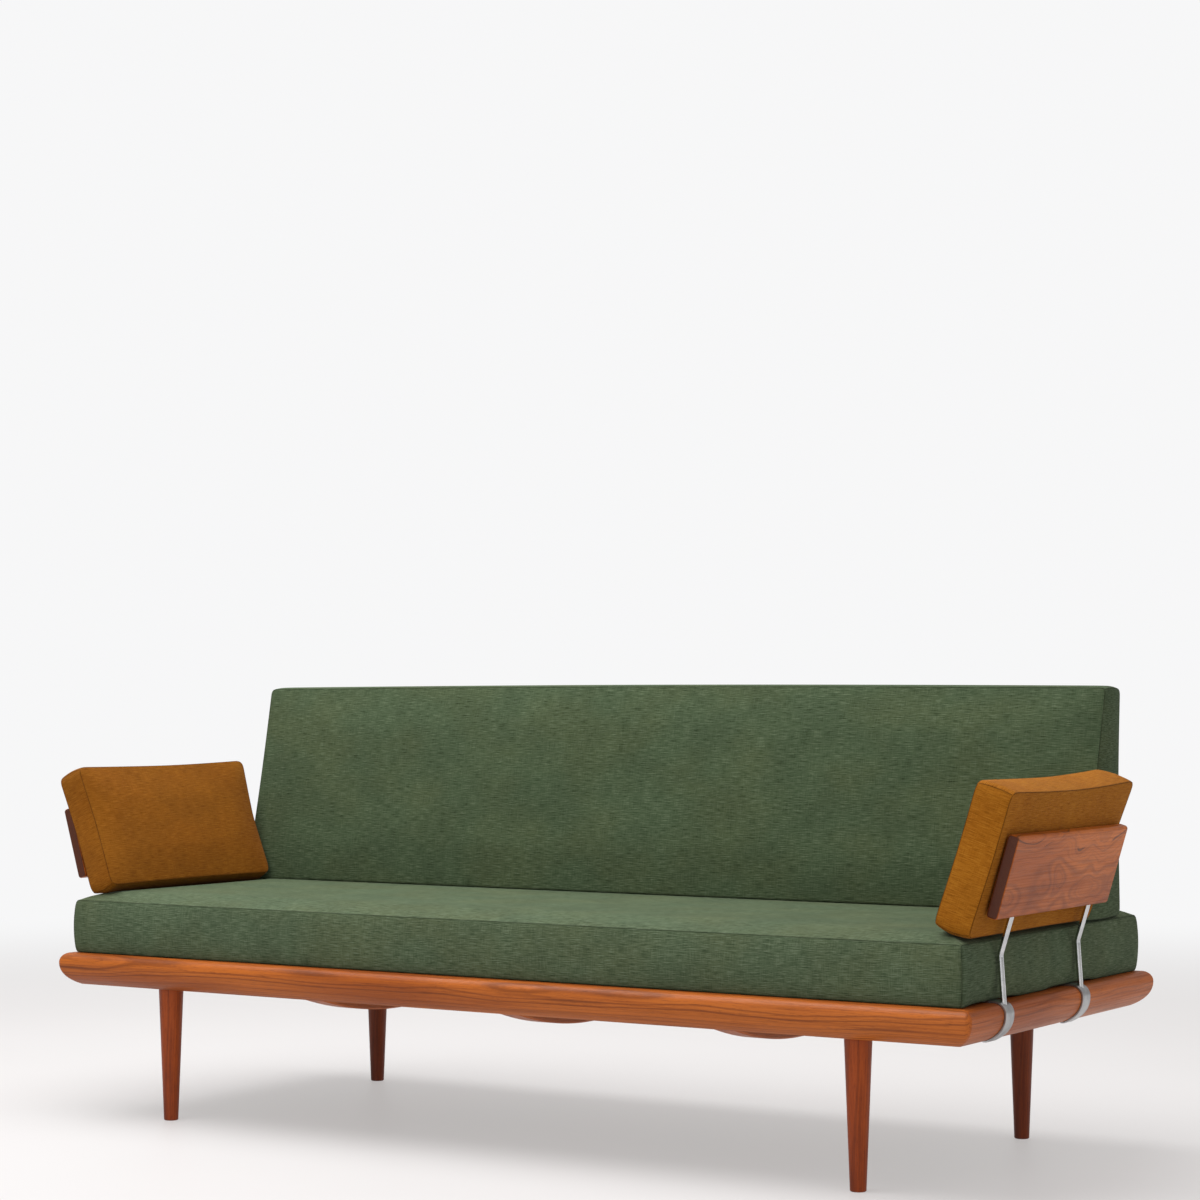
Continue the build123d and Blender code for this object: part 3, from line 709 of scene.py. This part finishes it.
# a box whose top is mattressTop plus slow waves, whose sides swell as the root of half a sine of height
# and pull in as half a sine along their length, and whose underside rises over the clips
def buildMattress():
    halfX, halfY = mattressHigh.x, mattressHigh.y
    depth = mattress["seam"] - mattress["bottom"]
    xs = gradedLines(2 * halfX, mattress["step"]) - halfX
    ys = gradedLines(2 * halfY, mattress["step"]) - halfY
    zs = gradedLines(depth, mattress["step"])
    flat, quads, corners, edges, onEdge = boxSkin(xs, ys, zs, {0: 1, 1: 0, 2: 0})
    x, y, z = flat.T
    up = z / depth
    atX, atY = np.abs(x) > halfX - touch, np.abs(y) > halfY - touch
    proud = mattress["proud"]
    roundX, roundY = roundCorners(x, y, halfX + proud, halfY + proud, mattress["corner"])
    swell = mattress["bulge"] * np.sin(np.pi * up) ** 0.5
    pullX = mattress["waist"] * np.sin(np.pi * (y + halfY) / (2 * halfY)) ** 0.5
    pullY = mattress["waist"] * np.sin(np.pi * (x + halfX) / (2 * halfX)) ** 0.3
    roundX += np.sign(x) * (swell * atX - pullX * (np.abs(x) / halfX) ** 12)
    roundY += np.sign(y) * (swell * atY - pullY * (np.abs(y) / halfY) ** 12)
    inner = shoulder(halfX - np.abs(x), mattress["calm"]) * shoulder(halfY - np.abs(y), mattress["calm"])
    top = mattressTop(x, y) + slowWaves(x, y, mattress["topWave"]) * inner
    bottom = mattress["bottom"] + mattress["overClip"] * clipRise(x, y)
    height = np.where(up > 1 - touch, top, bottom + (mattress["seam"] - bottom) * up)
    height += slowWaves(x, y, mattress["sideWave"]) * (up > 0.02) * (up < 0.98)
    skin = np.stack([roundX, roundY, height], 1)
    piece = newPiece("mattress_foam", skin, quads, "mattress", covers["mattress"], corners)
    markPaintedSeamShade(piece.data, onEdge)

    # the underside keeps its shape and the top keeps below the box
    def limit(points):
        under = up < touch
        points[:, 2] = np.where(under, bottom, np.maximum(points[:, 2], bottom))
        lowered = np.minimum(points[:, 2], mattressHigh.z + 0.0002)
        points[:, 2] = np.where(up > 1 - touch, lowered, points[:, 2])
        return points

    plump(piece, onEdge, mattress["settle"], limit)
    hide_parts("mattress")
    addSeams(piece, edges, "mattress", greenSeam)
    return piece


buildMattress()
print("mattress done")

backLow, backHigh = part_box("back_cushion")
backCushion = {
    "step": 0.0125,
    "topDepth": 0.067,
    "crown": 0.006,
    "crownWidth": 0.07,
    "bulge": 0.004,
    "corner": 0.010,
    "topArch": 0.004,
    "waist": 0.003,  # how far the ends pull in between their corners
    "wave": {"height": 0.0012, "size": 0.45, "seed": 23},
    "inset": 0.001,
    "foot": 0.05,  # the height over which the lower border follows the mattress
    "settle": {**filling, "bending": 0.6, "cap": 0.005},
}


# a wedge: the front leans back from a deep foot to a shallow top
def buildBackCushion():
    halfX = backHigh.x
    height, deep = backHigh.z - backLow.z, backHigh.y - backLow.y
    xs = gradedLines(2 * halfX, backCushion["step"]) - halfX
    ys = gradedLines(deep, backCushion["step"])
    zs = gradedLines(height, backCushion["step"])
    flat, quads, corners, edges, onEdge = boxSkin(xs, ys, zs, {0: 1, 1: 0, 2: 0})
    x, y, z = flat.T
    inset = backCushion["inset"]
    roundX, roundZ = roundCorners(x, z - height / 2, halfX - inset, height / 2, backCushion["corner"])
    roundZ += height / 2
    atX, atFront, atRear = np.abs(x) > halfX - touch, y < touch, y > deep - touch
    atTop, atBottom = z > height - touch, z < touch
    across = y / deep
    depth = deep + (backCushion["topDepth"] - deep) * roundZ / height
    wide = backCushion["crownWidth"]
    rim = shoulder(halfX - np.abs(x), wide) * shoulder(np.minimum(z, height - z), wide)
    newY = backHigh.y - inset - depth * (1 - across)
    newY -= atFront * (backCushion["crown"] + slowWaves(x, z, backCushion["wave"])) * rim
    swell = backCushion["bulge"] * np.sin(np.pi * across) ** 0.8
    pull = backCushion["waist"] * np.sin(np.pi * z / height) * (np.abs(x) / halfX) ** 12
    roundX += np.sign(x) * (swell * atX - pull)
    newZ = backLow.z + roundZ + swell * atTop * 0.8
    arch = backCushion["topArch"] * (np.cos(np.pi * x / (2 * halfX)) - 0.6)
    newZ += arch * np.clip(z / height, 0, 1) ** 3
    newZ -= np.clip(1 - z / backCushion["foot"], 0, 1) * (mattressHigh.z - 0.0014 - mattressTop(roundX, newY))
    skin = np.stack([roundX, newY, newZ], 1)
    cover = covers["back_cushion"]
    piece = newPiece("back_cushion_foam", skin, quads, "back_cushion", cover, corners)
    markPaintedSeamShade(piece.data, onEdge)

    # the rear keeps inside the box and the foot rests on the mattress
    def limit(points):
        points[:, 1] = np.where(atRear, np.minimum(points[:, 1], backHigh.y), points[:, 1])
        floor = mattressTop(points[:, 0], points[:, 1]) + 0.0018
        points[:, 2] = np.where(atBottom, floor, np.maximum(points[:, 2], floor))
        return points

    plump(piece, np.maximum(onEdge, atRear * 0.8), backCushion["settle"], limit)
    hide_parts("back_cushion")
    addSeams(piece, edges, "back_cushion", greenSeam)
    return piece


buildBackCushion()
print("back cushion done")

armCushion = {
    "thickness": 0.069,
    "height": 0.245,
    "length": 0.498,
    "tilt": {"right_arm_cushion": 17.5, "left_arm_cushion": 22.7},
    "sway": 0.006,  # how far the top edge sits behind the bottom one
    "rearReach": {"right_arm_cushion": 0.007, "left_arm_cushion": 0.010},  # the top rear corner drawn out
    "rearRise": {"right_arm_cushion": 0.008, "left_arm_cushion": 0.004},  # and up
    "frontPull": {"right_arm_cushion": 0.002, "left_arm_cushion": 0.006},  # the front end set back
    "frontSlim": {"right_arm_cushion": 0.003, "left_arm_cushion": 0.012},  # and thinner on the board's side
    "step": 0.0085,
    "corner": 0.018,
    "crown": 0.006,
    "crownWidth": 0.055,
    "sit": 0.005,  # how far the lower border is pressed onto the mattress
    "bulge": 0.0035,
    "endBulge": 0.001,
    "underBulge": 1.8,  # times the bulge, along the lower border
    "endWaist": 0.003,  # how far the ends, and then the long borders, pull in between their corners
    "longWaist": 0.002,
    "wave": {"height": 0.0012, "size": 0.26, "seed": 31},
    "inset": 0.001,
    "slimFrom": 0.10,  # the front grows thinner from this far ahead of the middle
    "settle": {**filling, "bending": 0.5, "cap": 0.003},
}


# built upright with x across from the seat side to the board side, then leaned outwards
def buildArmCushion(side, name):
    a = armCushion
    low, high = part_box(name)
    centre = (low + high) / 2
    halfT, halfL, halfH = a["thickness"] / 2, a["length"] / 2, a["height"] / 2
    xs = gradedLines(a["thickness"], a["step"]) - halfT
    ys = gradedLines(a["length"], a["step"]) - halfL
    zs = gradedLines(a["height"], a["step"]) - halfH
    flat, quads, corners, edges, onEdge = boxSkin(xs, ys, zs, {0: 1, 1: 0, 2: 1})
    x, y, z = flat.T
    newY, newZ = roundCorners(y, z, halfL - a["inset"], halfH - a["inset"], a["corner"])
    atX, atY, atZ = np.abs(x) > halfT - touch, np.abs(y) > halfL - touch, np.abs(z) > halfH - touch
    seatSide, boardSide = atX & (x < 0), atX & (x > 0)
    rim = shoulder(halfL - np.abs(y), a["crownWidth"]) * shoulder(halfH - np.abs(z), a["crownWidth"])
    newX = x - seatSide * (a["crown"] + slowWaves(y, z, a["wave"], side)) * rim
    newX -= boardSide * 0.0015 * (1 - rim)
    swell = a["bulge"] * np.sin(np.pi * (x + halfT) / (2 * halfT)) ** 0.8
    endWaist = a["endWaist"] * np.sin(np.pi * (z + halfH) / (2 * halfH)) * (np.abs(y) / halfL) ** 10
    longWaist = a["longWaist"] * np.sin(np.pi * (y + halfL) / (2 * halfL)) * (np.abs(z) / halfH) ** 8
    newY += np.sign(y) * (swell * a["endBulge"] / a["bulge"] * atY - endWaist)
    newZ += np.sign(z) * (swell * atZ * np.where(z < 0, a["underBulge"], 1.0) - longWaist)
    newY += a["sway"] * z / halfH + 0.004 * (y / halfL) * np.clip(z / halfH, 0, 1)
    topRear = np.clip(y / halfL, 0, 1) ** 1.5 * np.clip(z / halfH, 0, 1)
    newY += a["rearReach"][name] * topRear
    newZ += a["rearRise"][name] * topRear
    newY += a["frontPull"][name] * np.clip(-y / halfL, 0, 1) ** 2
    newZ -= a["sit"] * np.clip(-z / halfH, 0, 1) ** 4
    forward = np.clip((-y - a["slimFrom"]) / (halfL - a["slimFrom"]), 0, 1)
    newX -= a["frontSlim"][name] * forward * (x + halfT) / (2 * halfT)
    lean = math.radians(a["tilt"][name])

    # turned by lean: what is higher lies further outwards
    def leaned(points):
        p, q, r = points.T
        away = p * math.cos(lean) + r * math.sin(lean)
        rise = r * math.cos(lean) - p * math.sin(lean)
        return np.stack([centre.x + side * away, centre.y + q, centre.z + rise], 1)

    if side < 0:
        quads = quads[:, ::-1]
        corners = corners.reshape(-1, 4, 2)[:, ::-1].reshape(-1, 2)
    skin = leaned(np.stack([newX, newY, newZ], 1))
    piece = newPiece(name + "_foam", skin, quads, name, covers[name], corners)
    markPaintedSeamShade(piece.data, onEdge)

    # the outer face keeps off the board and the foot rests on the mattress
    def limit(points):
        away = (points[:, 0] - centre.x) * side
        rise = points[:, 2] - centre.z
        across = away * math.cos(lean) - rise * math.sin(lean)
        over = np.maximum(across - halfT, 0) * boardSide
        points[:, 0] -= side * over * math.cos(lean)
        points[:, 2] += over * math.sin(lean)
        inside = np.abs(points[:, 0]) < mattressHigh.x
        floor = np.where(inside, mattressTop(points[:, 0], points[:, 1]) + 0.001, 0)
        points[:, 2] = np.maximum(points[:, 2], floor)
        return points

    plump(piece, np.maximum(onEdge, boardSide * 0.8), a["settle"], limit)
    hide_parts(name)
    addSeams(piece, edges, name, ochreSeam)
    return piece


for side, name in ((1, "right_arm_cushion"), (-1, "left_arm_cushion")):
    buildArmCushion(side, name)
print("arm cushions done")

springs = {"wire": 0.0013, "pitch": 0.0030, "perTurn": 12, "around": 6, "hook": 0.055}


# wire wound round y: hook, coil, hook, as one centre line with a ring of points carried along it
def buildSpring(name):
    low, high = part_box(name)
    centre = (low + high) / 2
    coil = (high.z - low.z) / 2 - springs["wire"]
    half = high.y - springs["hook"]
    turns = round(2 * half / springs["pitch"])
    angle = np.linspace(0, 2 * math.pi * turns, turns * springs["perTurn"] + 1)
    along = np.linspace(-half, half, len(angle))
    winding = np.stack([coil * np.cos(angle), along, coil * np.sin(angle)], 1)
    reach = np.linspace(high.y, half + 0.004, 8)
    bend = np.array([[0.0, half + 0.003, 0.0], [coil * 0.55, half + 0.0015, 0.0]])
    hook = np.concatenate([np.stack([0 * reach, reach, 0 * reach], 1), bend])
    start = hook * np.array([1, -1, 1])
    path = np.concatenate([start, winding, hook[::-1]]) + np.array(centre)
    steady = np.tile([0.0, 1.0, 0.0], (len(path), 1)) + 1e-4
    steady[:9] = steady[-9:] = (0.0, 0.0, 1.0)
    points, quads = sewnLine([path], [steady], springs["wire"], 0.0, springs["around"])
    piece = newPiece(name + "_coil", points, quads, "frame", wireFinish)
    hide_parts(name)


for number in range(1, 15):
    buildSpring(f"seat_spring_{number:02d}")
print("springs done")

room = {
    "near": (0.345, 0.338, 0.338, 1),
    "glow": (0.395, 0.384, 0.382, 1),
    "far": (0.93, 0.93, 0.935, 1),
    "fade": (2.0, 5.5),  # distance where the floor starts and ends fading
    "reach": 40.0,
    "sky": 0.55,
    "skyLow": (0.78, 0.76, 0.745, 1),
    "skyHigh": (1.12, 1.105, 1.09, 1),
}


# a flat floor that fades with distance into the same white as the surroundings
def buildFloor():
    mesh = bpy.data.meshes.new("floor")
    square = [(x * room["reach"], y * room["reach"], 0) for x, y in ((-1, -1), (1, -1), (1, 1), (-1, 1))]
    mesh.from_pydata(square, [], [(0, 1, 2, 3)])
    floor = bpy.data.objects.new("floor", mesh)
    bpy.context.scene.collection.objects.link(floor)
    finish = bpy.data.materials.new("paleFloor")
    finish.use_nodes = True
    tree = finish.node_tree
    tree.nodes.clear()
    place = put(tree, "ShaderNodeTexCoord").outputs["Object"]
    away = put(tree, "ShaderNodeVectorMath", {0: place}, operation="LENGTH").outputs["Value"]
    fade = remap(tree, away, *room["fade"])
    mottle = put(tree, "ShaderNodeTexNoise", {"Vector": place, "Scale": 1.4, "Detail": 3.0}).outputs[0]
    duller = tuple(c * 0.985 for c in room["near"][:3]) + (1,)
    colour = blendColour(tree, remap(tree, mottle, 0.3, 0.7), room["near"], duller)
    keys = {"Base Color": colour, "Roughness": 0.5, "Specular IOR Level": 0.25}
    keys.update({"Emission Color": room["glow"], "Emission Strength": 1.0})
    near = put(tree, "ShaderNodeBsdfPrincipled", keys)
    far = put(tree, "ShaderNodeEmission", {"Color": room["far"], "Strength": 1.0})
    mixed = put(tree, "ShaderNodeMixShader", {0: fade, 1: near.outputs[0], 2: far.outputs[0]})
    under = put(tree, "ShaderNodeNewGeometry").outputs["Backfacing"]
    clear = put(tree, "ShaderNodeBsdfTransparent")
    shown = put(tree, "ShaderNodeMixShader", {0: under, 1: mixed.outputs[0], 2: clear.outputs[0]})
    put(tree, "ShaderNodeOutputMaterial", {"Surface": shown.outputs[0]})
    mesh.materials.append(finish)


buildFloor()

lamps = {
    "overhead": {"place": (-0.75, -0.4, 3.4), "aim": (-0.1, 0, 0.3), "size": 3.8, "power": 168},
    "rightFront": {"place": (3.9, -1.6, 2.0), "aim": (0.8, 0, 0.4), "size": 2.2, "power": 12},
    "front": {"place": (-0.3, -5.2, 1.2), "aim": (0, 0, 0.4), "size": 3.6, "power": 36},
}
for name, lamp in lamps.items():
    data = bpy.data.lights.new(name, "AREA")
    data.shape, data.size, data.energy = "DISK", lamp["size"], lamp["power"]
    light = bpy.data.objects.new(name, data)
    light.location = lamp["place"]
    light.visible_camera = False
    light.rotation_euler = (Vector(lamp["aim"]) - Vector(lamp["place"])).to_track_quat("-Z", "Y").to_euler()
    bpy.context.scene.collection.objects.link(light)

sky = bpy.data.worlds.new("studio")
sky.use_nodes = True
tree = sky.node_tree
tree.nodes.clear()
seen = put(tree, "ShaderNodeLightPath").outputs["Is Camera Ray"]
around = put(tree, "ShaderNodeTexCoord").outputs["Generated"]
heading = put(tree, "ShaderNodeSeparateXYZ", {0: around}).outputs[2]
dome = remap(tree, heading, -0.05, 0.75)  # dimmer low down, so that round metal shows a dark band
shade = blendColour(tree, dome, room["skyLow"], room["skyHigh"])
soft = put(tree, "ShaderNodeBackground", {"Color": shade, "Strength": room["sky"]})
plain = put(tree, "ShaderNodeBackground", {"Color": room["far"], "Strength": 1.0})
either = put(tree, "ShaderNodeMixShader", {0: seen, 1: soft.outputs[0], 2: plain.outputs[0]})
put(tree, "ShaderNodeOutputWorld", {"Surface": either.outputs[0]})
bpy.context.scene.world = sky
bpy.context.scene.view_settings.view_transform = "Standard"
print("room and light done")
